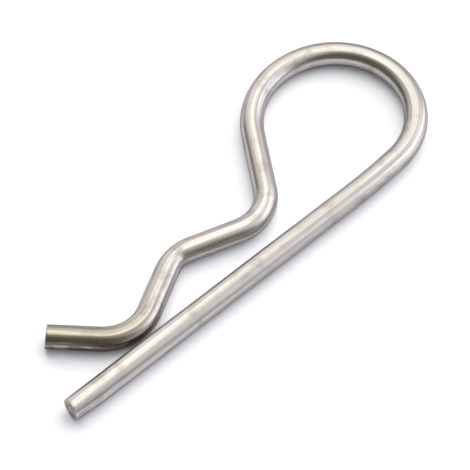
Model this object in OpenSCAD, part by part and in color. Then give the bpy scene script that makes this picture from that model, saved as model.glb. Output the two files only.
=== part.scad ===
// Spring clip bent from one length of round wire, of the kind that locks a
// hitch pin. A straight leg goes through the pin's cross hole. The wire then
// turns round a wide eye and comes back as the grip, whose bends hold the
// shaft of the pin. Every bend is a true arc, tangent to the runs beside it.
// The clip lies flat: the straight leg runs along X, the eye is at +X, and
// the grip is on the leg's +Y side. The origin is the centre of the outline,
// on the surface that the clip rests on.

/* [Wire] */
// Diameter of the round spring wire
wire_d = 4; // [3:0.1:5]
// How much a bend as tight as the wire is thick would thin it, in radius
bend_thinning = 0.05; // [0.02:0.01:0.1]
// Width of the break round the straight leg's tip, measured inwards
tip_break = 0.15; // [0.1:0.05:0.8]
// Length of that break along the wire
tip_break_l = 0.2; // [0.15:0.05:1.5]
// Width of the break round the cut end of the tail
tail_break = 0.12; // [0.05:0.01:0.4]

/* [Straight leg] */
// Length of the straight leg, from its tip to the first bend
leg_l = 60.8; // [60.6:0.2:64]
// Centreline radius of the long sweep that leads into the eye
sweep_r = 118; // [114:1:124]
// Angle that the long sweep turns through
sweep_a = 5.4; // [5.2:0.1:5.8]

/* [Eye] */
// Centreline radius of the crown, the round end of the eye
crown_r = 13.3; // [13:0.1:13.8]
// Angle that the crown turns through
crown_a = 157; // [152:1:160]
// Centreline radius of the shoulder, between the crown and the neck
shoulder_r = 15.1; // [14.6:0.1:15.4]

/* [Grip] */
// Distance from the leg's tip to the throat bend, along the leg
throat_x = 44.7; // [44.2:0.1:45.2]
// Clear gap between the throat bend and the leg
throat_gap = 3.1; // [2.6:0.1:3.6]
// Centreline radius of the throat bend
throat_r = 7.6; // [6:0.1:8.2]
// Distance from the leg's tip to the top of the bay that holds the shaft
bay_x = 32; // [31.4:0.1:32.4]
// Clear height of the bay above the leg
bay_gap = 6.4; // [5.8:0.1:6.8]
// Centreline radius of the bend over the bay
bay_r = 8; // [6:0.1:8.4]
// Distance from the leg's tip to the pinch bend, along the leg
pinch_x = 17.4; // [16:0.1:17.8]
// Clear gap between the pinch bend and the leg
pinch_gap = 0.65; // [0.3:0.05:2]
// Centreline radius of the pinch bend
pinch_r = 7.7; // [6:0.1:8.2]

/* [Tail] */
// Angle between the tail and the leg
tail_a = 45.7; // [35:0.1:60]
// Straight length of the tail, from the pinch bend to its cut end
tail_l = 8.7; // [6:0.1:11]

/* [Hidden] */

// Facets round the wire, and facets in a full turn of a bend
wire_fn = 72;
bend_fn = 360;

wire_r = wire_d / 2;

// The wire's own radius in a bend: a tight bend thins it more than a wide one
function bent_wire_r(radius) = wire_r - bend_thinning * wire_d / radius;

// Height of a bend's centreline over the leg's, from the clear gap they leave
function bend_height(gap, radius) = gap + wire_r + bent_wire_r(radius);

// The clip is laid out from the leg's tip, with the leg's centreline on X,
// and its bends by the centres of their arcs. A heading is the direction in
// which the wire runs, in degrees from +X, and outward points to its right.
function outward(heading) = [sin(heading), -cos(heading)];

// The straight run between a bend and one that turns the other way. Its
// length and heading follow from the arcs' centres and from their reach,
// the sum of their radii. side is 1 after a left-hand bend, and otherwise -1.
function run_length(from, to, reach) = sqrt(pow(norm(to - from), 2) - pow(reach, 2));
function run_heading(from, to, reach, side) =
    atan2(to[1] - from[1], to[0] - from[0]) + side * asin(reach / norm(to - from));
// The same heading, counted on through a full turn
function full_turn(heading) = heading < 0 ? heading + 360 : heading;

// Centres of the arcs, from the leg's tip
sweep_c = [leg_l, sweep_r];
crown_c = sweep_c + (sweep_r - crown_r) * outward(sweep_a);
shoulder_heading = sweep_a + crown_a;
shoulder_c = crown_c + (crown_r - shoulder_r) * outward(shoulder_heading);
throat_c = [throat_x, bend_height(throat_gap, throat_r) + throat_r];
bay_c = [bay_x, bend_height(bay_gap, bay_r) - bay_r];
pinch_c = [pinch_x, bend_height(pinch_gap, pinch_r) + pinch_r];

// The runs between the bends
neck_reach = shoulder_r + throat_r;
neck_l = run_length(shoulder_c, throat_c, neck_reach);
neck_heading = full_turn(run_heading(shoulder_c, throat_c, neck_reach, 1));
rise_reach = throat_r + bay_r;
rise_l = run_length(throat_c, bay_c, rise_reach);
rise_heading = full_turn(run_heading(throat_c, bay_c, rise_reach, -1));
fall_reach = bay_r + pinch_r;
fall_l = run_length(bay_c, pinch_c, fall_reach);
fall_heading = full_turn(run_heading(bay_c, pinch_c, fall_reach, 1));
tail_heading = 180 - tail_a;

// The outline's extent, which puts the origin at its centre
outline_l = crown_c[0] + crown_r + bent_wire_r(crown_r);
outline_top = shoulder_c[1] + shoulder_r + bent_wire_r(shoulder_r);
outline_centre = [outline_l / 2, (outline_top - wire_r) / 2];

// A straight run along +X, with whatever follows it at its end
module run(length) {
    rotate([0, 90, 0]) cylinder(h = length, r = wire_r, $fn = wire_fn);
    translate([length, 0, 0]) children();
}

// A bend that starts along +X, with whatever follows it at its end. A
// positive angle turns left, towards +Y, and a negative one turns right. It
// is the slice of a ring of wire between its two end planes, at most a half
// ring, so its cut faces meet the runs beside it exactly.
module bend(radius, angle) {
    side = sign(angle);
    translate([0, side * radius, 0]) {
        difference() {
            rotate_extrude($fn = bend_fn)
                translate([radius, 0]) circle(r = bent_wire_r(radius), $fn = wire_fn);
            mirror([1, 0, 0]) beyond_plane(radius);
            rotate([0, 0, angle]) beyond_plane(radius);
        }
        rotate([0, 0, angle]) translate([0, -side * radius, 0]) children();
    }
}

// All of a ring of wire that lies beyond the plane through its centre
module beyond_plane(radius) {
    reach = radius + wire_d;
    translate([0, -reach, -wire_d]) cube([reach, 2 * reach, 2 * wire_d]);
}

// The broken edge of a cut end that faces +X, narrower there by width
module broken_end(width, length) {
    rotate([0, 90, 0])
        cylinder(h = length, r1 = wire_r, r2 = wire_r - width, $fn = wire_fn);
}

module clip_wire() {
    color("silver")
        translate([-outline_centre[0], -outline_centre[1], wire_r]) {
            translate([tip_break_l, 0, 0]) {
                rotate([0, 0, 180]) broken_end(tip_break, tip_break_l);
                run(leg_l - tip_break_l)
                    bend(sweep_r, sweep_a)
                    bend(crown_r, crown_a)
                    bend(shoulder_r, neck_heading - shoulder_heading)
                    run(neck_l)
                    bend(throat_r, rise_heading - neck_heading)
                    run(rise_l)
                    bend(bay_r, fall_heading - rise_heading)
                    run(fall_l)
                    bend(pinch_r, tail_heading - fall_heading)
                    run(tail_l - tail_break)
                    broken_end(tail_break, tail_break);
            }
        }
}

clip_wire();
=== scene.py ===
# Bends a hitch pin's spring clip out of round wire, gives it its drawn and
# sheared finish, and lays it on pale paper in a studio. Lengths are in metres.
import math

import bpy
import numpy as np
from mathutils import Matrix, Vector, kdtree


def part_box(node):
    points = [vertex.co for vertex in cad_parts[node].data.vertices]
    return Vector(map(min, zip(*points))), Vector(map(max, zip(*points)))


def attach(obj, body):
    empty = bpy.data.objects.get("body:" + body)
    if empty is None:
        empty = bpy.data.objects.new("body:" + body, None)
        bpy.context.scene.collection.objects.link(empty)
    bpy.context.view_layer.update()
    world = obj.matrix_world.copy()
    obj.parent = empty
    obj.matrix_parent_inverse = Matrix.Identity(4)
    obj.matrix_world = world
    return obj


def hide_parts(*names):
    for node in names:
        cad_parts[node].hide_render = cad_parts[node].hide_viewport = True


bl_info = {
    "name": "Hitch pin spring clip",
    "version": (1, 0, 0),
    "blender": (4, 5, 0),
    "location": "3D View > Sidebar > Spring clip",
    "description": "Bends a spring clip from round wire, finishes it and sets a studio round it",
    "category": "Object",
}

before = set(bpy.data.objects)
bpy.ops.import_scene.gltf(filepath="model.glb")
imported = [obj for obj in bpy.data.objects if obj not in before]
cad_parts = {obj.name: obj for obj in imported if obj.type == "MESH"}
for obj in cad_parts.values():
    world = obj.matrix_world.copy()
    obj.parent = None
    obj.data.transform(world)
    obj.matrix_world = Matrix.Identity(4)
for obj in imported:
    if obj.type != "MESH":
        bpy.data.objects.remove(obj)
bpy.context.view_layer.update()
CLIP_LOW, CLIP_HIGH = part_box("clip_wire")

MM = 0.001
WIRE_NAME = "bent_spring_wire"

# Bending and cutting
SPARE = 0.3 * MM            # wire left over beyond the tail's cut; the tip has twice as much
TIP_STEPS = 8               # rings along the part of the tip that the shear pushed in
MIN_BEND_STEPS = 4
CAP_RINGS = 12              # rings of a cut's face
FACE_HOLLOW = 0.02 * MM     # how hollow a cut's face is
MERGE_DISTANCE = 1e-6
SMOOTH_BELOW = math.radians(35)
LINE_PITCH = 0.05 * MM      # pitch of the centreline points that lay out the pattern
CUT_FACING = 0.9            # how squarely a cut's faces look along the wire, as a cosine

# Bending and cutting, in wire radii
WHOLE_RING = 1.1            # takes in a ring of the wire from its centre
TIP_CUT_REACH = 1.2         # how far from its middle a cut goes through the wire
TAIL_CUT_REACH = 1.5
PUSH_SPOT = 0.6             # reach of the shear's blade at the tip
DENT_SPOT = 0.12            # half the width of the former's edge in the bay
DENT_SIDE = 0.55            # that edge bears on what lies this far inside the centreline

# Finish: the values of a pattern between which a mark fades in
DULL_STREAKS = (0.42, 0.68)
DULL_PATCHES = (0.5, 0.72)
WORKED_HARD = (0.1, 0.28)   # by how far a bend stretched or pressed the surface, as a share
STAINED_STREAKS = (0.36, 0.62)
SMEAR_AND_SHADE_SPOTS = (0.83, 1.05)
ROUGH_LINES = (0.3, 0.75)
TORN_PATCHES = (0.35, 0.65)
BRIGHT_GRAINS = (0.54, 0.68)
SMOOTH_GRAINS = (0.3, 0.7)

# Finish: where the tail's stain, and the smears that also paint shade low on its side, fade in, on the
# straight wire
STAIN_ALONG = (168 * MM, 184 * MM)      # from the leg's tip
# the tail's low side towards the leg, where the smears also paint in shade
SHADED_LOW_SIDE = (-0.2 * MM, 1.9 * MM)      # to the left of the wire's middle, less the height over it

# Finish: how strong each mark is, where 1 is full
STREAK_DULLING = 0.5
PATCH_DULLING = 0.35
BEND_DULLING = 0.15
STAIN = (0.2, 0.85)         # between streaks, and in them
# the dark smears are partly dirt and partly painted shade on the tail's low side
SMEAR_AND_SHADE = 0.85

# Finish: roughness that lines and dullness add, and relief
ROUGHENING = (-0.05, 0.09)  # between lines, and in them
DULL_ROUGHENING = 0.1
GRAIN_ROUGHNESS = (0.5, 0.32)   # of the torn grain, and of its bright grains
LINE_DEPTH = 0.015 * MM
STREAK_DEPTH = 0.8          # as a share of the lines' depth
PIT_DEPTH = 0.3             # as a share of the lines' depth
PIT_SIZE = 0.22             # radius of a pit, as a share of the distance between pits
GRAIN_DEPTH = 0.05 * MM

# Studio
FLOOR_SIZE = 6.0
FLOOR_DROP = 0.02 * MM      # keeps the floor clear of the wire's lowest facets
CONTACT_FADE = (0.0, 0.5)   # how open the floor is where its glow begins and where it is full
FLAG_DISTANCE = 0.8
FLAG_STEP = 0.03            # each flag stands this much behind the one before
FLAG_HEM = 1 * MM           # the flags' lower edge, over the floor
FLAG_MARGIN = 2             # clear cloth round a flag's soft edge, in degrees
BRIGHT_SIDE = (66, 44)      # azimuth and elevation of the room's bright side, in degrees
BRIGHT_FADE = (0.33, 0.96)  # where its light begins and is full, as cosines from that side
LOOK_AT = Vector((-1.66 * MM, -6.29 * MM, 2.0 * MM))
SENSOR_WIDTH = 36.0
NEAREST, FARTHEST = 0.01, 20.0      # limits of what the camera sees


# ---------------------------------------------------------------- settings

def length(name, description, mm):
    return bpy.props.FloatProperty(
        name=name, description=description, default=mm * MM, min=0.0, unit="LENGTH", precision=5)


def angle(name, description, degrees):
    return bpy.props.FloatProperty(
        name=name, description=description, default=math.radians(degrees), subtype="ANGLE")


def share(name, description, default, high=1.0):
    return bpy.props.FloatProperty(
        name=name, description=description, default=default, min=0.0, max=high, subtype="FACTOR")


def brightness(name, description, default):
    return bpy.props.FloatProperty(name=name, description=description, default=default, min=0.0)


def tint(name, description, rgb):
    return bpy.props.FloatVectorProperty(
        name=name, description=description, default=rgb, size=3, min=0.0, max=1.0, subtype="COLOR")


class WireSizes(bpy.types.PropertyGroup):
    """The wire, the places and radii of its bends, and its two cut ends."""
    wire_d: bpy.props.FloatProperty(
        name="Wire diameter", description="Diameter of the round spring wire",
        default=CLIP_HIGH.z - CLIP_LOW.z, min=0.0, unit="LENGTH", precision=5)
    leg_l: length("Leg length", "Straight leg, from its tip to the first bend", 60.8)
    sweep_r: length("Sweep radius", "Long sweep that leads into the eye", 118)
    sweep_a: angle("Sweep angle", "Angle that the long sweep turns through", 5.4)
    crown_r: length("Crown radius", "Round end of the eye", 13.3)
    crown_a: angle("Crown angle", "Angle that the crown turns through", 157)
    shoulder_r: length("Shoulder radius", "Bend between the crown and the neck", 15.1)
    throat_x: length("Throat place", "Throat bend, from the leg's tip along the leg", 44.7)
    throat_gap: length("Throat gap", "Clear gap between the throat bend and the leg", 3.1)
    throat_r: length("Throat radius", "Centreline radius of the throat bend", 7.6)
    bay_x: length("Bay place", "Top of the bay, from the leg's tip along the leg", 32.0)
    bay_gap: length("Bay height", "Clear height of the bay above the leg", 6.4)
    bay_r: length("Bay radius", "Centreline radius of the bend over the bay", 8.0)
    pinch_x: length("Pinch place", "Pinch bend, from the leg's tip along the leg", 17.4)
    pinch_gap: length("Pinch gap", "Clear gap between the pinch bend and the leg", 0.65)
    pinch_r: length("Pinch radius", "Centreline radius of the pinch bend", 7.7)
    tail_a: angle("Tail angle", "Angle between the tail and the leg", 45.7)
    tail_l: length("Tail length", "Straight part of the tail", 8.7)
    thinning: share("Bend thinning", "How much a bend as tight as the wire is thick thins it", 0.05)
    facets: bpy.props.IntProperty(
        name="Facets", description="Facets round the wire", default=72, min=24, max=120)
    ring_pitch: length("Ring pitch", "Distance between two rings of the mesh", 0.45)
    tip_slant: angle("Tip slant", "How far the tip's cut is from square", 8.7)
    tip_proud: length("Tip stand-out", "How far the middle of the slanted cut stands out", 0.22)
    tip_edge: length("Tip edge", "Broken edge round the tip's cut", 0.06)
    push_l: length("Push length", "Part of the tip that the shear pushed in", 4.2)
    push_a: angle("Push angle", "How far below level the shear's push came from", 40)
    push_d: length("Push depth", "How far the shear pushed the tip in", 0.26)
    bay_dent: length("Bay dent", "Depth of the former's mark inside the bend over the bay", 0.3)
    bay_dent_l: length("Bay dent reach", "How far that mark fades out over", 2.0)
    tail_lean: angle("Tail lean", "How far the tail's cut leans back", 4.5)
    tail_edge: length("Tail edge", "Broken edge round the tail's cut", 0.05)


class WireFinish(bpy.types.PropertyGroup):
    """Colour and surface of the drawn wire and of its sheared ends."""
    steel: tint("Bright steel", "Colour of the bright drawn surface", (0.52, 0.487, 0.478))
    dull: tint("Dull steel", "Colour of the duller streaks and patches", (0.25, 0.218, 0.195))
    stained: tint("Stained steel", "Colour of the brown streaks near the tail", (0.265, 0.236, 0.178))
    # this colour is partly dark smears and partly painted shade, low on the tail's side towards the leg
    residue_and_shade: tint("Burnt residue", "Colour of the dark smears low on the tail", (0.11, 0.083, 0.06))
    sheared: tint("Torn steel", "Colour of the torn part of a cut end", (0.135, 0.124, 0.09))
    burnished: tint("Burnished steel", "Colour of the smoother part of a cut end", (0.31, 0.284, 0.225))
    fleck: tint("Bright flecks", "Colour of the bright grains in a cut end", (0.58, 0.55, 0.46))
    edge: tint("Edge tint", "Colour that bright steel takes at a grazing angle", (0.40, 0.39, 0.36))
    roughness: share("Roughness", "Roughness of the bright surface", 0.28)


class StudioLight(bpy.types.PropertyGroup):
    """Camera, lamps and the light of the room."""
    camera_distance: length("Camera distance", "From the camera to what it looks at", 438.3)
    camera_elevation: angle("Camera elevation", "Above the floor", 54.99)
    camera_heading: angle("Camera heading", "Turn of the camera's right-hand side, from +X", -42.685)
    lens: bpy.props.FloatProperty(
        name="Lens", description="Focal length for a sensor 36 mm wide", default=205.67, unit="CAMERA")
    fill: share("Fill", "Light level of the room's bright far side on dull surfaces", 2.1, 5.0)
    shade: share("Shade", "Light level of the room's near side on dull surfaces", 0.07)
    paper: tint("Paper", "Colour of the paper on the floor", (0.82, 0.805, 0.85))
    glow: tint("Glow", "Colour of the light that the floor's own paper adds", (0.85, 0.92, 1.0))
    floor_glow: share("Floor glow", "Light that the floor's own paper adds where it is looked at", 0.2)
    contact: length("Contact shade", "How far from the clip its closeness dims the floor's glow", 3)
    overhead: brightness("Overhead lamp", "Brightness of the lamp overhead, where 1 is white", 1.2)
    side: brightness("Side lamp", "Brightness of the lamp on the right, where 1 is white", 1.4)
    ceiling: brightness("Ceiling lamp", "Brightness of the wide lamp above, where 1 is white", 0.25)
    back: brightness("Back lamp", "Brightness of the lamp at the back, where 1 is white", 0.4)


# ------------------------------------------------------------- wire layout

def outward(heading):
    """Unit vector to the right of a heading."""
    return Vector((math.sin(heading), -math.cos(heading)))


def run_between(start, end, reach, side):
    """Length and heading of the straight run between two bends that turn opposite ways, from their
    centres and the sum of their radii. Side is 1 after a left-hand bend, and otherwise -1."""
    gap = end - start
    heading = math.atan2(gap.y, gap.x) + side * math.asin(reach / gap.length)
    return math.sqrt(gap.length ** 2 - reach ** 2), heading % math.tau


def wire_layout(s):
    """The wire from the leg's tip to the tail's end: runs as (name, length, 0) and bends as
    (name, radius, turn)."""
    def height(gap, radius):
        """A bend's height over the leg, between centrelines. A tight bend thins the wire more."""
        return gap + s.wire_d - s.thinning * s.wire_d / (radius / MM)

    crown_heading = s.sweep_a + s.crown_a
    sweep = Vector((s.leg_l, s.sweep_r))
    crown = sweep + (s.sweep_r - s.crown_r) * outward(s.sweep_a)
    shoulder = crown + (s.crown_r - s.shoulder_r) * outward(crown_heading)
    throat = Vector((s.throat_x, height(s.throat_gap, s.throat_r) + s.throat_r))
    bay = Vector((s.bay_x, height(s.bay_gap, s.bay_r) - s.bay_r))
    pinch = Vector((s.pinch_x, height(s.pinch_gap, s.pinch_r) + s.pinch_r))
    neck_l, neck_a = run_between(shoulder, throat, s.shoulder_r + s.throat_r, 1)
    rise_l, rise_a = run_between(throat, bay, s.throat_r + s.bay_r, -1)
    fall_l, fall_a = run_between(bay, pinch, s.bay_r + s.pinch_r, 1)
    tail_a = math.pi - s.tail_a
    return [
        ("leg", s.leg_l, 0),
        ("sweep", s.sweep_r, s.sweep_a),
        ("crown", s.crown_r, s.crown_a),
        ("shoulder", s.shoulder_r, neck_a - crown_heading),
        ("neck", neck_l, 0),
        ("throat", s.throat_r, rise_a - neck_a),
        ("rise", rise_l, 0),
        ("bay", s.bay_r, fall_a - rise_a),
        ("fall", fall_l, 0),
        ("pinch", s.pinch_r, tail_a - fall_a),
        ("tail", s.tail_l, 0),
    ]


def stations(layout, start):
    """Points along the wire's centreline, each with its heading, distance from the tip and curvature."""
    rows, point, heading, along = [], Vector(start), 0.0, 0.0
    for _, size, turn in layout:
        span = abs(turn) * size if turn else size
        steps = max(2, round(span / LINE_PITCH))
        curve = math.copysign(1 / size, turn) if turn else 0.0
        for k in range(steps):
            t = span * k / steps
            if turn:
                a = t * curve
                place = point + (outward(heading + a) - outward(heading)) / curve
                rows.append((place.x, place.y, heading + a, along + t, curve))
            else:
                rows.append((point.x + t * math.cos(heading), point.y + t * math.sin(heading),
                             heading, along + t, 0.0))
        if turn:
            point = point + (outward(heading + turn) - outward(heading)) / curve
            heading += turn
        else:
            point = point + span * Vector((math.cos(heading), math.sin(heading)))
        along += span
    rows.append((point.x, point.y, heading, along, 0.0))
    return np.array(rows)


# ----------------------------------------------------------- edit-mode help

def deselect_objects():
    if bpy.context.object and bpy.context.object.mode != "OBJECT":
        bpy.ops.object.mode_set(mode="OBJECT")
    bpy.ops.object.select_all(action="DESELECT")


def edit(piece):
    deselect_objects()
    bpy.context.view_layer.objects.active = piece
    piece.select_set(True)
    bpy.ops.object.mode_set(mode="EDIT")


def select_points(piece, test):
    """Selects, in edit mode, the vertices whose place passes the test."""
    bpy.ops.mesh.select_mode(type="VERT")
    bpy.ops.mesh.select_all(action="DESELECT")
    bpy.ops.object.mode_set(mode="OBJECT")
    for v in piece.data.vertices:
        v.select = bool(test(v.co))
    bpy.ops.object.mode_set(mode="EDIT")


def extrude(move):
    bpy.ops.mesh.extrude_region_move(TRANSFORM_OT_translate={"value": tuple(move)})


def push(move, reach):
    """Moves what is selected, and what is joined to it within reach a little less."""
    bpy.ops.transform.translate(
        value=tuple(move), use_proportional_edit=True, proportional_edit_falloff="SMOOTH",
        proportional_size=reach, use_proportional_connected=True)


# ------------------------------------------------------------------ the wire

def shear_off(piece, reach, place, way):
    """Cuts the wire's end off square to way, through place. The cut's ring is left selected."""
    select_points(piece, lambda co: (co - place).length < reach)
    bpy.ops.mesh.bisect(plane_co=tuple(place), plane_no=tuple(way), clear_outer=True)


def close_end(middle, way, radius, profile):
    """Closes the wire's open ring at middle with an end cap. The profile gives, from the rim
    inwards, how far out each ring of the cap lies and its radius; the last ring is drawn together."""
    reached, now = 0.0, radius
    for out, ring in profile:
        extrude(way * (out - reached))
        centre = middle + way * out
        scale = ring / now
        bpy.ops.transform.resize(value=(scale, scale, scale), center_override=tuple(centre))
        reached, now = out, ring
    bpy.ops.mesh.merge(type="CENTER")


def face_profile(edge, radius):
    """A cap's rings: a small broken edge, then the slightly hollow face."""
    broken = [(0.5 * edge, radius - 0.3 * edge), (edge, radius - edge)]
    shares = [1 - k / CAP_RINGS for k in range(1, CAP_RINGS)]
    return broken + [(edge - FACE_HOLLOW * (1 - t * t), (radius - edge) * t) for t in shares]


def draw_wire(s, start, layout):
    """Draws the open wire from start on: extrudes its runs and spins its bends. Gives the wire,
    the end of its centreline and its heading there, and the bay bend's centre and outward side."""
    r = s.wire_d / 2
    deselect_objects()
    bpy.ops.mesh.primitive_circle_add(
        vertices=s.facets, radius=r, fill_type="NOTHING", location=start, rotation=(0, math.pi / 2, 0))
    wire = bpy.context.object
    wire.name = WIRE_NAME
    wire.data.name = WIRE_NAME
    bpy.ops.object.transform_apply(location=True, rotation=True, scale=True)

    edit(wire)
    bpy.ops.mesh.select_all(action="SELECT")
    point, heading, bay = start.xy, 0.0, None
    drawn = {"leg": s.leg_l - s.push_l, "tail": s.tail_l - 2 * SPARE}
    for name, size, turn in layout:
        if turn:
            centre = point - outward(heading) * math.copysign(size, turn)
            bpy.ops.mesh.spin(
                steps=max(MIN_BEND_STEPS, round(abs(turn) * size / s.ring_pitch)), angle=turn,
                center=(centre.x, centre.y, r), axis=(0, 0, -1))
            if name == "bay":
                bay = (centre, outward(heading + turn / 2))
            heading += turn
            point = centre + outward(heading) * math.copysign(size, turn)
            continue
        run = drawn.get(name, size)
        steps = max(1, round(run / s.ring_pitch))
        way = Vector((math.cos(heading), math.sin(heading)))
        for _ in range(steps):
            extrude((way.x * run / steps, way.y * run / steps, 0))
        point = point + way * run
    return wire, point, heading, bay


def cut_tail(wire, s, point, heading):
    """Ends the tail, whose open ring is selected, with a clean cut that leans back a little."""
    r = s.wire_d / 2
    way = Vector((math.cos(heading), math.sin(heading), 0))
    extrude(way * 3 * SPARE)
    end = Vector((point.x, point.y, r)) + way * 2 * SPARE
    lean = (way * math.cos(s.tail_lean) + Vector((0, 0, math.sin(s.tail_lean)))).normalized()
    rim = end - lean * s.tail_edge
    shear_off(wire, TAIL_CUT_REACH * r, rim, lean)
    close_end(rim, lean, r, face_profile(s.tail_edge, r))


def cut_tip(wire, s, tip, start):
    """Adds the leg's tip, which the shear pushed in on its lower outer side and cut at a slant."""
    r = s.wire_d / 2
    select_points(wire, lambda co: abs(co.x - start.x) < MERGE_DISTANCE
                  and (co - start).length < WHOLE_RING * r)
    for k in range(TIP_STEPS):
        extrude((-s.push_l / TIP_STEPS - (2 * SPARE if k == TIP_STEPS - 1 else 0), 0, 0))
    out = Vector((0, -math.cos(s.push_a), -math.sin(s.push_a)))
    pushed = tip + Vector((-2 * SPARE, 0, 0)) + out * r
    select_points(wire, lambda co: (co - pushed).length < PUSH_SPOT * r)
    push(-out * s.push_d, s.push_l)
    slant = Vector((-math.cos(s.tip_slant), math.sin(s.tip_slant), 0))
    rim = tip - Vector((s.tip_proud, 0, 0)) - out * s.push_d / 2 - slant * s.tip_edge
    shear_off(wire, TIP_CUT_REACH * r, rim, slant)
    close_end(rim, slant, r, face_profile(s.tip_edge, r))


def dent_bay(wire, s, centre, out):
    """Presses the former's mark into the inside of the bend over the bay."""
    r = s.wire_d / 2
    inside = centre + out * (s.bay_r - r)
    across = Vector((-out.y, out.x))
    select_points(wire, lambda co: abs((co.xy - inside).dot(across)) < DENT_SPOT * r
                  and 0 < (co.xy - centre).dot(out) < s.bay_r - DENT_SIDE * r)
    push(out.to_3d() * s.bay_dent, s.bay_dent_l)


class CLIP_OT_bend_wire(bpy.types.Operator):
    """Draws the wire with its bends, shears off its two ends and marks it inside the bay"""
    bl_idname = "clip.bend_wire"
    bl_label = "Bend the wire"
    bl_options = {"REGISTER", "UNDO"}

    def execute(self, context):
        s = context.scene.clip_sizes
        r = s.wire_d / 2
        tip = Vector((CLIP_LOW.x, CLIP_LOW.y + r, r))
        start = tip + Vector((s.push_l, 0, 0))
        layout = wire_layout(s)
        wire, point, heading, bay = draw_wire(s, start, layout)
        cut_tail(wire, s, point, heading)
        cut_tip(wire, s, tip, start)
        dent_bay(wire, s, *bay)

        bpy.ops.mesh.select_all(action="SELECT")
        bpy.ops.mesh.remove_doubles(threshold=MERGE_DISTANCE)
        bpy.ops.mesh.normals_make_consistent(inside=False)
        bpy.ops.object.mode_set(mode="OBJECT")
        bpy.ops.object.shade_smooth_by_angle(angle=SMOOTH_BELOW)

        lay_out_pattern(wire, layout, tip)
        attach(wire, "root")
        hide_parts("clip_wire")
        return {"FINISHED"}


def lay_out_pattern(wire, layout, tip):
    """Writes each point's place on the wire as it was before it was bent, and how hard it was bent."""
    line = stations(layout, tip.xy)
    tree = kdtree.KDTree(len(line))
    for k, row in enumerate(line):
        tree.insert((row[0], row[1], 0), k)
    tree.balance()
    co = np.empty(len(wire.data.vertices) * 3)
    wire.data.vertices.foreach_get("co", co)
    co = co.reshape(-1, 3)
    near = line[[tree.find((x, y, 0))[1] for x, y, _ in co]]
    d = co[:, :2] - near[:, :2]
    c, sn = np.cos(near[:, 2]), np.sin(near[:, 2])
    along = near[:, 3] + d[:, 0] * c + d[:, 1] * sn
    left = -d[:, 0] * sn + d[:, 1] * c
    straight = np.c_[along, left, co[:, 2] - tip.z].astype(np.float32)
    wire.data.attributes.new("straight_wire", "FLOAT_VECTOR", "POINT").data.foreach_set(
        "vector", straight.ravel())
    strain = (near[:, 4] * -left).astype(np.float32)
    wire.data.attributes.new("bend_strain", "FLOAT", "POINT").data.foreach_set("value", strain)


# ----------------------------------------------------------------- materials

class Nodes:
    """Short ways to add and join nodes in a tree."""

    def __init__(self, tree):
        self.tree = tree
        tree.nodes.clear()

    def add(self, kind, inputs=(), **settings):
        node = self.tree.nodes.new(kind)
        for key, value in settings.items():
            setattr(node, key, value)
        for key, value in dict(inputs).items():
            if isinstance(value, bpy.types.NodeSocket):
                self.tree.links.new(value, node.inputs[key])
            else:
                node.inputs[key].default_value = value
        return node

    def math(self, operation, a, b=0.0, clamp=False):
        return self.add("ShaderNodeMath", {0: a, 1: b}, operation=operation, use_clamp=clamp).outputs[0]

    def ramp(self, value, low, high, out_low=0.0, out_high=1.0):
        return self.add("ShaderNodeMapRange", {
            "Value": value, "From Min": low, "From Max": high, "To Min": out_low, "To Max": out_high,
        }, interpolation_type="SMOOTHSTEP").outputs["Result"]

    def mix(self, factor, a, b):
        return self.add("ShaderNodeMix", {0: factor, 6: a, 7: b}, data_type="RGBA").outputs[2]

    def noise(self, vector, scale, detail, roughness):
        return self.add("ShaderNodeTexNoise", {
            "Vector": vector, "Scale": scale, "Detail": detail, "Roughness": roughness}).outputs["Fac"]

    def scaled(self, vector, scale):
        return self.add("ShaderNodeVectorMath", {0: vector, 3: scale}, operation="SCALE").outputs[0]

    def facing(self, vector, way):
        """How squarely a unit vector points a fixed way, as a cosine."""
        return self.add("ShaderNodeVectorMath", {0: vector, 1: tuple(way)},
                        operation="DOT_PRODUCT").outputs["Value"]

    def show(self, shader):
        """Ends the tree with this shader, as a material's surface."""
        self.add("ShaderNodeOutputMaterial", {0: shader})


def group(name, inputs, outputs):
    """A new shader node group with its sockets, and its nodes' helper."""
    tree = bpy.data.node_groups.new(name, "ShaderNodeTree")
    for label, kind, default in inputs:
        socket = tree.interface.new_socket(name=label, in_out="INPUT", socket_type=kind)
        if default is not None:
            socket.default_value = default
    for label, kind in outputs:
        tree.interface.new_socket(name=label, in_out="OUTPUT", socket_type=kind)
    n = Nodes(tree)
    return tree, n, n.add("NodeGroupInput").outputs, n.add("NodeGroupOutput").inputs


def drawing_marks():
    """Fine lines that the die leaves along the wire."""
    tree, n, given, out = group("drawing_marks", [
        ("Vector", "NodeSocketVector", None),
        ("Line Width", "NodeSocketFloat", 0.08),
        ("Line Length", "NodeSocketFloat", 9.0),
    ], [("Lines", "NodeSocketFloat"), ("Streaks", "NodeSocketFloat")])
    per_mm = n.scaled(given["Vector"], 1 / MM)
    across = n.math("DIVIDE", 1.0, given["Line Width"])
    lengthwise = n.math("DIVIDE", 1.0, given["Line Length"])
    scale = n.add("ShaderNodeCombineXYZ", {"X": lengthwise, "Y": across, "Z": across}).outputs[0]
    fine = n.add("ShaderNodeVectorMath", {0: per_mm, 1: scale}, operation="MULTIPLY").outputs[0]
    lines = n.noise(fine, 1.0, 3.0, 0.6)
    streaks = n.noise(n.scaled(fine, 0.22), 1.0, 2.0, 0.5)
    n.tree.links.new(lines, out["Lines"])
    n.tree.links.new(streaks, out["Streaks"])
    return tree


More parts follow.
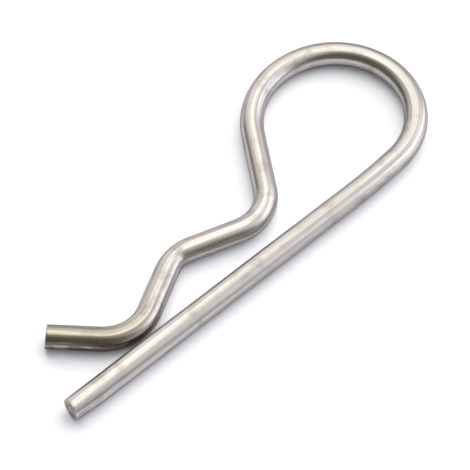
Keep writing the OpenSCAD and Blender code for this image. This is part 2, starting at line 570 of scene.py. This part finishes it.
def handling_wear():
    """Soft patches and small pits left by bending tools and handling."""
    tree, n, given, out = group("handling_wear", [
        ("Vector", "NodeSocketVector", None),
        ("Patch Size", "NodeSocketFloat", 3.0),
    ], [("Patches", "NodeSocketFloat"), ("Pits", "NodeSocketFloat")])
    per_mm = n.scaled(given["Vector"], 1 / MM)
    patches = n.scaled(per_mm, n.math("DIVIDE", 1.0, given["Patch Size"]))
    n.tree.links.new(n.noise(patches, 1.0, 3.0, 0.6), out["Patches"])
    pits = n.add("ShaderNodeTexVoronoi", {"Vector": per_mm, "Scale": 2.2}).outputs["Distance"]
    n.tree.links.new(n.ramp(pits, 0.0, PIT_SIZE, 1.0, 0.0), out["Pits"])
    return tree


def new_material(name):
    material = bpy.data.materials.new(name)
    material.use_nodes = True
    return material, Nodes(material.node_tree)


def drawn_steel(f, marks, wear):
    """Bright drawn steel with lengthwise lines and dull patches, stained near the tail, with dark smears
    and painted shade low on the tail's side towards the leg.
    """
    material, n = new_material("drawn_spring_steel")
    place = n.add("ShaderNodeAttribute", attribute_name="straight_wire").outputs["Vector"]
    strain = n.add("ShaderNodeAttribute", attribute_name="bend_strain").outputs["Fac"]
    lines = n.add("ShaderNodeGroup", {"Vector": place}, node_tree=marks).outputs
    worn = n.add("ShaderNodeGroup", {"Vector": place}, node_tree=wear).outputs

    # dull streaks and patches, and some dullness where a bend worked the surface hard
    streak = n.ramp(lines["Streaks"], *DULL_STREAKS)
    patch = n.ramp(worn["Patches"], *DULL_PATCHES)
    worked = n.ramp(n.math("ABSOLUTE", strain), *WORKED_HARD)
    streak = n.math("MULTIPLY", streak, STREAK_DULLING)
    patch = n.math("MULTIPLY", patch, PATCH_DULLING)
    worked = n.math("MULTIPLY", worked, BEND_DULLING)
    dullness = n.math("ADD", n.math("ADD", streak, patch, clamp=True), worked, clamp=True)
    colour = n.mix(dullness, (*f.steel, 1), (*f.dull, 1))

    # brown stain near the tail, and dark smears low on its side towards the leg that also paint in that
    # side's shade
    at = n.add("ShaderNodeSeparateXYZ", {0: place}).outputs
    near_tail = n.ramp(at["X"], *STAIN_ALONG)
    stain = n.math("MULTIPLY", near_tail, n.ramp(lines["Streaks"], *STAINED_STREAKS, *STAIN))
    colour = n.mix(stain, colour, (*f.stained, 1))
    shaded_low_side = n.ramp(n.math("SUBTRACT", at["Y"], at["Z"]), *SHADED_LOW_SIDE)
    smear_and_shade_spots = n.ramp(n.math("ADD", lines["Streaks"], worn["Patches"]), *SMEAR_AND_SHADE_SPOTS)
    residue_and_shade = n.math("MULTIPLY", n.math("MULTIPLY", near_tail, shaded_low_side), smear_and_shade_spots)
    colour = n.mix(n.math("MULTIPLY", residue_and_shade, SMEAR_AND_SHADE), colour, (*f.residue_and_shade, 1))

    # fine lines roughen and score the surface
    between, within = (f.roughness + more for more in ROUGHENING)
    rough = n.ramp(lines["Lines"], *ROUGH_LINES, between, within)
    rough = n.math("ADD", rough, n.math("MULTIPLY", dullness, DULL_ROUGHENING))
    height = n.math("ADD", lines["Lines"], n.math("MULTIPLY", lines["Streaks"], STREAK_DEPTH))
    height = n.math("SUBTRACT", height, n.math("MULTIPLY", worn["Pits"], PIT_DEPTH))
    bump = n.add("ShaderNodeBump", {"Height": height, "Strength": 0.5, "Distance": LINE_DEPTH})
    n.show(n.add("ShaderNodeBsdfPrincipled", {
        "Base Color": colour, "Metallic": 1.0, "Roughness": rough, "Normal": bump.outputs[0],
        "Specular Tint": (*f.edge, 1)}).outputs[0])
    return material


def sheared_steel(f, wear):
    """The torn grain of a cut end, with a few bright flecks."""
    material, n = new_material("sheared_spring_steel")
    place = n.add("ShaderNodeTexCoord").outputs["Object"]
    worn = n.add("ShaderNodeGroup", {"Vector": place, "Patch Size": 0.9}, node_tree=wear).outputs
    grain = n.noise(n.scaled(place, 1 / MM), 3.2, 3.0, 0.65)
    colour = n.mix(n.ramp(worn["Patches"], *TORN_PATCHES), (*f.sheared, 1), (*f.burnished, 1))
    colour = n.mix(n.ramp(grain, *BRIGHT_GRAINS), colour, (*f.fleck, 1))
    bump = n.add("ShaderNodeBump", {"Height": grain, "Strength": 0.9, "Distance": GRAIN_DEPTH})
    n.show(n.add("ShaderNodeBsdfPrincipled", {
        "Base Color": colour, "Metallic": 1.0, "Normal": bump.outputs[0],
        "Roughness": n.ramp(grain, *SMOOTH_GRAINS, *GRAIN_ROUGHNESS)}).outputs[0])
    return material


class CLIP_OT_finish_wire(bpy.types.Operator):
    """Gives the wire its drawn surface, and its two cut ends their torn one"""
    bl_idname = "clip.finish_wire"
    bl_label = "Finish the wire"
    bl_options = {"REGISTER", "UNDO"}

    def execute(self, context):
        wire = bpy.data.objects.get(WIRE_NAME)
        if wire is None:
            raise RuntimeError("bend the wire before it is finished")
        f = context.scene.clip_finish
        s = context.scene.clip_sizes
        r = s.wire_d / 2
        wear = handling_wear()
        wire.data.materials.clear()
        wire.data.materials.append(drawn_steel(f, drawing_marks(), wear))
        wire.data.materials.append(sheared_steel(f, wear))

        # the cut ends' faces take the second material
        turned = sum(turn for _, _, turn in wire_layout(s))
        tail = Vector((math.cos(turned), math.sin(turned), 0))
        along = [point.vector.x for point in wire.data.attributes["straight_wire"].data]
        last = max(along) - r
        for face in wire.data.polygons:
            at_tip = along[face.vertices[0]] < r and face.normal.x < -CUT_FACING
            at_tail = along[face.vertices[0]] > last and face.normal.dot(tail) > CUT_FACING
            face.material_index = 1 if at_tip or at_tail else 0
        return {"FINISHED"}


# --------------------------------------------------------------------- stage

def studio_axes(light):
    """The camera's right-hand side and the way it looks, both level."""
    right = Vector((math.cos(light.camera_heading), math.sin(light.camera_heading), 0))
    return right, Vector((-right.y, right.x, 0))


def from_studio(light, azimuth, elevation):
    """Unit vector for a direction given from the camera's right-hand side, turning to the far side."""
    right, away = studio_axes(light)
    a, e = math.radians(azimuth), math.radians(elevation)
    level = right * math.cos(a) + away * math.sin(a)
    return level * math.cos(e) + Vector((0, 0, math.sin(e)))


# Name, azimuth and elevation in degrees, distance, size, colour, and the setting with its brightness
LAMPS = (
    ("overhead_lamp", 90, 72, 0.6, (0.46, 0.62), (0.98, 1.0, 0.78), "overhead"),
    ("ceiling_lamp", 92, 50, 0.65, (0.95, 0.7), (1.0, 1.0, 1.0), "ceiling"),
    ("side_lamp", 12, 11, 0.6, (0.61, 0.72), (0.90, 0.96, 1.0), "side"),
    ("back_lamp", 114, 14, 0.6, (0.24, 0.36), (1.0, 0.96, 0.94), "back"),
)


def hang_lamp(name, light, azimuth, elevation, distance, size, colour, level):
    """An area lamp that faces the clip. Level 1 makes it as bright as white paper."""
    place = from_studio(light, azimuth, elevation) * distance
    bpy.ops.object.light_add(type="AREA", location=place)
    lamp = bpy.context.object
    lamp.name = name
    lamp.data.shape = "RECTANGLE"
    lamp.data.size, lamp.data.size_y = size
    lamp.data.color = colour
    lamp.data.energy = level * math.pi * size[0] * size[1]
    lamp.rotation_euler = place.to_track_quat("Z", "Y").to_euler()
    lamp.visible_camera = False


def seen_directly(n):
    """1 for the rays that show the background: from the camera, off metal and through glass."""
    ray = n.add("ShaderNodeLightPath").outputs
    seen = n.math("ADD", ray["Is Camera Ray"], ray["Is Glossy Ray"])
    return n.math("ADD", seen, ray["Is Transmission Ray"], clamp=True)


def floor_paper(light):
    """Plain pale paper. It keeps the clip's shadow, and is white where nothing shades it."""
    material, n = new_material("floor_paper")
    paper = n.add("ShaderNodeBsdfDiffuse", {"Color": (*light.paper, 1)}).outputs[0]
    open_floor = n.add("ShaderNodeAmbientOcclusion", {"Distance": light.contact}, samples=8).outputs["AO"]
    level = n.math("MULTIPLY", seen_directly(n), n.ramp(open_floor, *CONTACT_FADE, 0.0, light.floor_glow))
    glow = n.add("ShaderNodeEmission", {"Color": (*light.glow, 1), "Strength": level}).outputs[0]
    n.show(n.add("ShaderNodeAddShader", {0: paper, 1: glow}).outputs[0])
    return material


# Name, azimuth, elevation, opening and softness in degrees, and colour
FLAGS = (
    ("hood_flag", 264, 22, 43, 8, (0.135, 0.130, 0.092)),
    ("front_flag", 230, 0, 68, 5, (0.175, 0.165, 0.13)),
    ("left_flag", 177, -5, 36, 7, (0.205, 0.188, 0.172)),
    ("right_flag", 306, 14, 28, 10, (0.34, 0.31, 0.30)),
    ("back_flag", 79, -2, 20, 12, (0.27, 0.25, 0.235)),
)


def stand_flag(name, light, azimuth, elevation, opening, softness, colour, distance):
    """A round dark flag that bright metal reflects. It stands on the floor, curved round the clip,
    opening degrees from its middle to its edge, and thins out towards the edge over softness degrees."""
    toward = from_studio(light, azimuth, elevation)
    deselect_objects()
    bpy.ops.mesh.primitive_uv_sphere_add(segments=64, ring_count=32, radius=distance)
    flag = bpy.context.object
    flag.name = name
    edit(flag)
    bpy.ops.mesh.select_all(action="SELECT")
    edge = toward * distance * math.cos(math.radians(opening + softness + FLAG_MARGIN))
    bpy.ops.mesh.bisect(plane_co=tuple(edge), plane_no=tuple(toward), clear_inner=True)
    bpy.ops.mesh.select_all(action="SELECT")
    bpy.ops.mesh.bisect(plane_co=(0, 0, FLAG_HEM), plane_no=(0, 0, 1), clear_inner=True)
    bpy.ops.object.mode_set(mode="OBJECT")
    cloth, n = new_material(name + "_cloth")
    place = n.add("ShaderNodeTexCoord").outputs["Object"]
    unit = n.add("ShaderNodeVectorMath", {0: place}, operation="NORMALIZE").outputs[0]
    clear_at = math.cos(math.radians(opening + softness))
    full_at = math.cos(math.radians(opening - softness))
    cover = n.ramp(n.facing(unit, toward), clear_at, full_at)
    dark = n.add("ShaderNodeEmission", {"Color": (*colour, 1)}).outputs[0]
    clear = n.add("ShaderNodeBsdfTransparent").outputs[0]
    n.show(n.add("ShaderNodeMixShader", {0: cover, 1: clear, 2: dark}).outputs[0])
    flag.data.materials.append(cloth)
    for ray in ("camera", "diffuse", "shadow", "transmission", "volume_scatter"):
        setattr(flag, "visible_" + ray, False)


class CLIP_OT_set_stage(bpy.types.Operator):
    """Lays the clip on pale paper, with soft lamps, dark flags round it and the camera"""
    bl_idname = "clip.set_stage"
    bl_label = "Set the stage"
    bl_options = {"REGISTER", "UNDO"}

    def execute(self, context):
        light = context.scene.clip_light
        deselect_objects()

        # floor
        bpy.ops.mesh.primitive_plane_add(size=FLOOR_SIZE, location=(0, 0, -FLOOR_DROP))
        floor = context.object
        floor.name = "studio_floor"
        bpy.ops.object.transform_apply(location=True)
        floor.data.materials.append(floor_paper(light))

        # flags
        for k, (name, azimuth, elevation, opening, softness, colour) in enumerate(FLAGS):
            stand_flag(name, light, azimuth, elevation, opening, softness, colour,
                       FLAG_DISTANCE + FLAG_STEP * k)

        # lamps
        deselect_objects()
        for name, azimuth, elevation, distance, size, colour, setting in LAMPS:
            hang_lamp(name, light, azimuth, elevation, distance, size, colour, getattr(light, setting))

        # room
        world = bpy.data.worlds.new("studio")
        context.scene.world = world
        world.use_nodes = True
        n = Nodes(world.node_tree)
        toward = n.add("ShaderNodeTexCoord").outputs["Generated"]
        facing = n.facing(toward, from_studio(light, *BRIGHT_SIDE))
        soft = n.ramp(facing, *BRIGHT_FADE, light.shade, light.fill)
        level = n.add("ShaderNodeMix", {0: seen_directly(n), 2: soft, 3: 1.0}, data_type="FLOAT").outputs[0]
        room = n.add("ShaderNodeBackground", {"Color": (1, 1, 1, 1), "Strength": level}).outputs[0]
        n.tree.links.new(room, n.add("ShaderNodeOutputWorld").inputs[0])

        # camera
        back = from_studio(light, 270, math.degrees(light.camera_elevation))
        bpy.ops.object.camera_add(location=LOOK_AT + back * light.camera_distance)
        camera = context.object
        camera.name = "studio_camera"
        camera.rotation_euler = back.to_track_quat("Z", "Y").to_euler()
        camera.data.lens = light.lens
        camera.data.sensor_width = SENSOR_WIDTH
        camera.data.clip_start, camera.data.clip_end = NEAREST, FARTHEST
        context.scene.camera = camera
        context.scene.view_settings.view_transform = "Standard"
        return {"FINISHED"}


class CLIP_PT_panel(bpy.types.Panel):
    """The clip's settings and the steps that make it."""
    bl_label = "Spring clip"
    bl_idname = "CLIP_PT_panel"
    bl_space_type = "VIEW_3D"
    bl_region_type = "UI"
    bl_category = "Spring clip"

    def draw(self, context):
        for settings, operator in (("clip_sizes", "clip.bend_wire"), ("clip_finish", "clip.finish_wire"),
                                   ("clip_light", "clip.set_stage")):
            box = self.layout.box()
            values = getattr(context.scene, settings)
            for name in values.__annotations__:
                box.prop(values, name)
            box.operator(operator)


CLASSES = (WireSizes, WireFinish, StudioLight, CLIP_OT_bend_wire, CLIP_OT_finish_wire,
           CLIP_OT_set_stage, CLIP_PT_panel)
SETTINGS = {"clip_sizes": WireSizes, "clip_finish": WireFinish, "clip_light": StudioLight}


def register():
    for cls in CLASSES:
        bpy.utils.register_class(cls)
    for name, cls in SETTINGS.items():
        setattr(bpy.types.Scene, name, bpy.props.PointerProperty(type=cls))


def unregister():
    for name in SETTINGS:
        delattr(bpy.types.Scene, name)
    for cls in reversed(CLASSES):
        bpy.utils.unregister_class(cls)


def main():
    register()
    bpy.ops.clip.bend_wire()
    bpy.ops.clip.finish_wire()
    bpy.ops.clip.set_stage()


if __name__ == "__main__":
    main()
